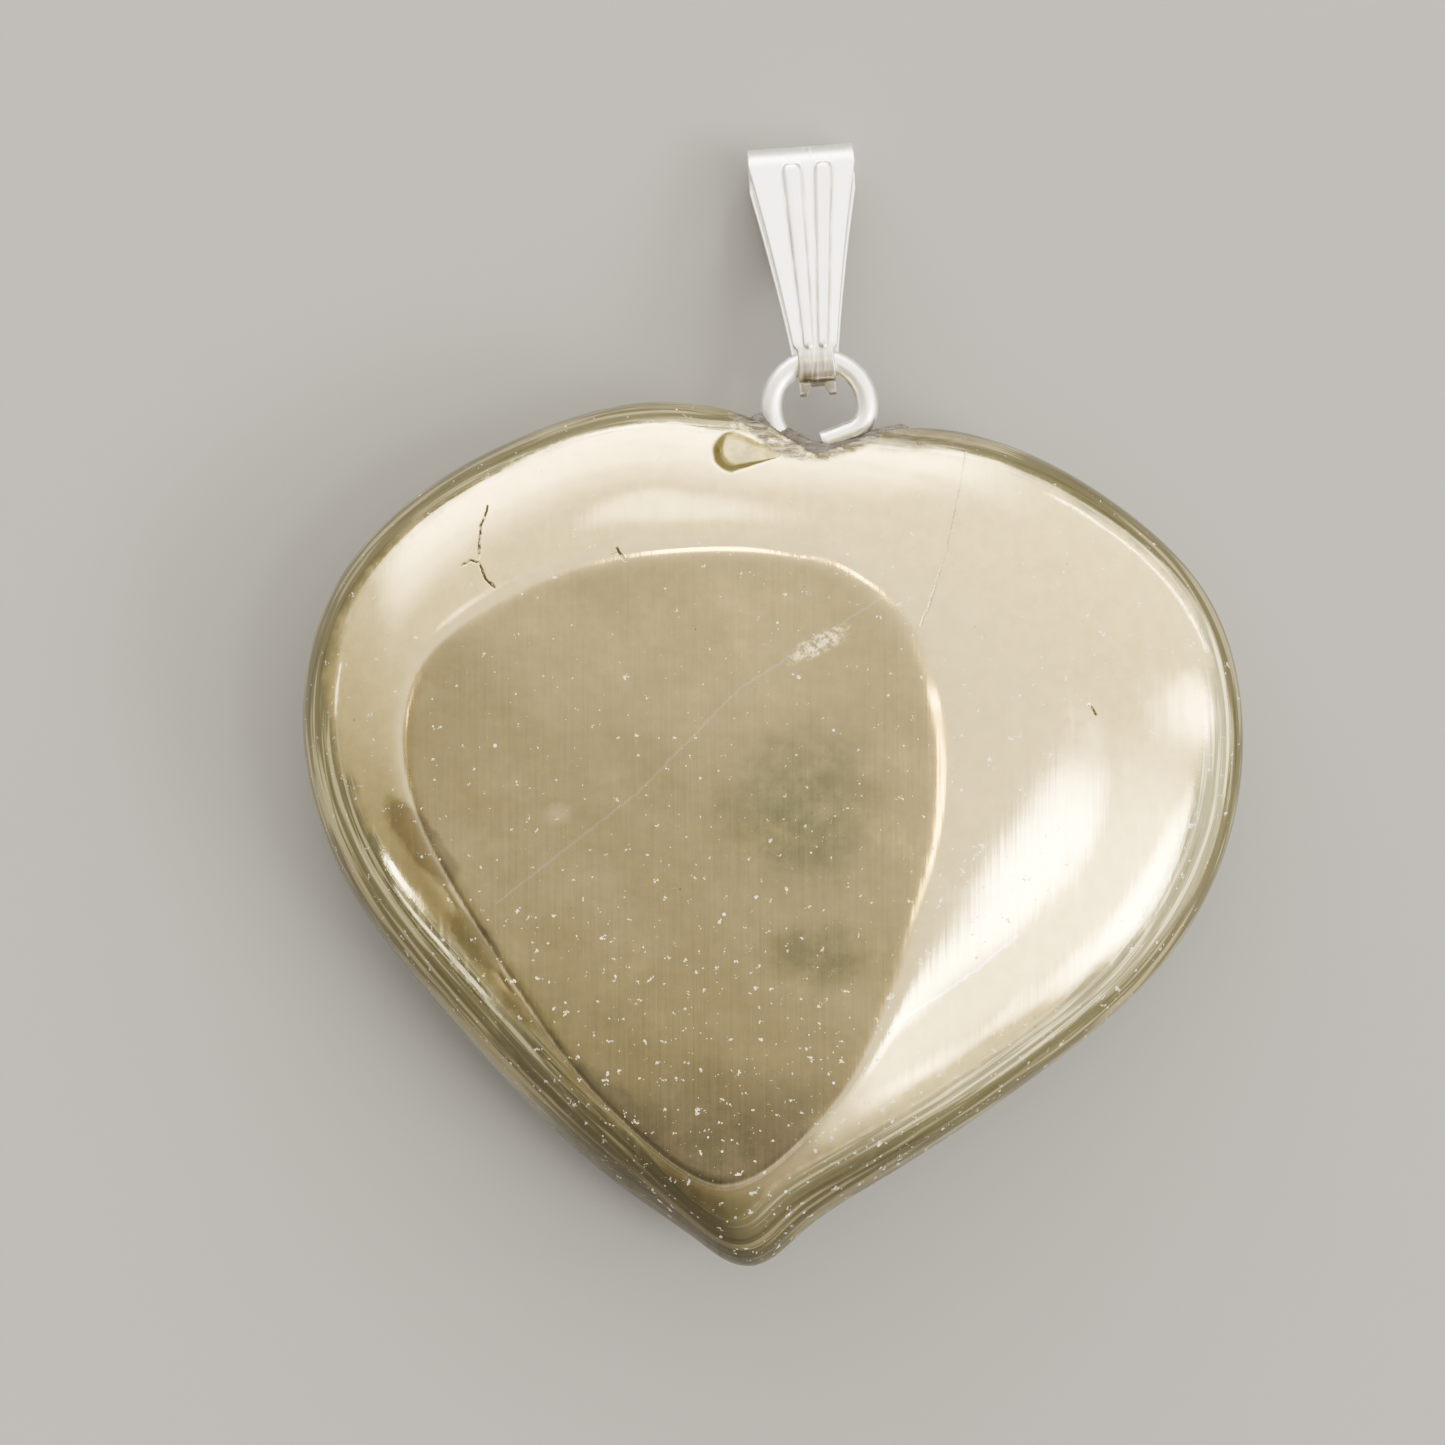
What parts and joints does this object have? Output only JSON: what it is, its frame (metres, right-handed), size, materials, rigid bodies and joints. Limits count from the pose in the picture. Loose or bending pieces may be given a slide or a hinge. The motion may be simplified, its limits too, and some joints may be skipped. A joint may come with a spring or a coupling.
{
  "type": "heart pendant",
  "caption": "Polished pyrite heart pendant with a silver eye pin glued in its notch and a ribbed fold-over bail that swings on the eye.",
  "frame": {"origin": "middle of the whole pendant's outer box, on the flat back that it lies on", "axes": "+Z out of the front face, +Y from the tip of the heart to the bail, +X to the right seen from the front"},
  "size_m": [0.041, 0.0492, 0.01],
  "materials": {
    "pyrite": "polished",
    "silver_wire": "polished",
    "set_adhesive": "matte",
    "silver_sheet": "polished"
  },
  "bodies": {
    "heart": {"heart_stone": "pyrite", "eye_pin": "silver_wire", "adhesive": "set_adhesive"},
    "bail": {"bail": "silver_sheet"}
  },
  "joints": [
    {"name": "bail_swing", "type": "hinge", "parent": "heart", "child": "bail", "pos_m": [0.00189, 0.01479, 0.005], "axis": [0.9976, 0.0698, 0], "range_deg": [-100, 150]}
  ]
}
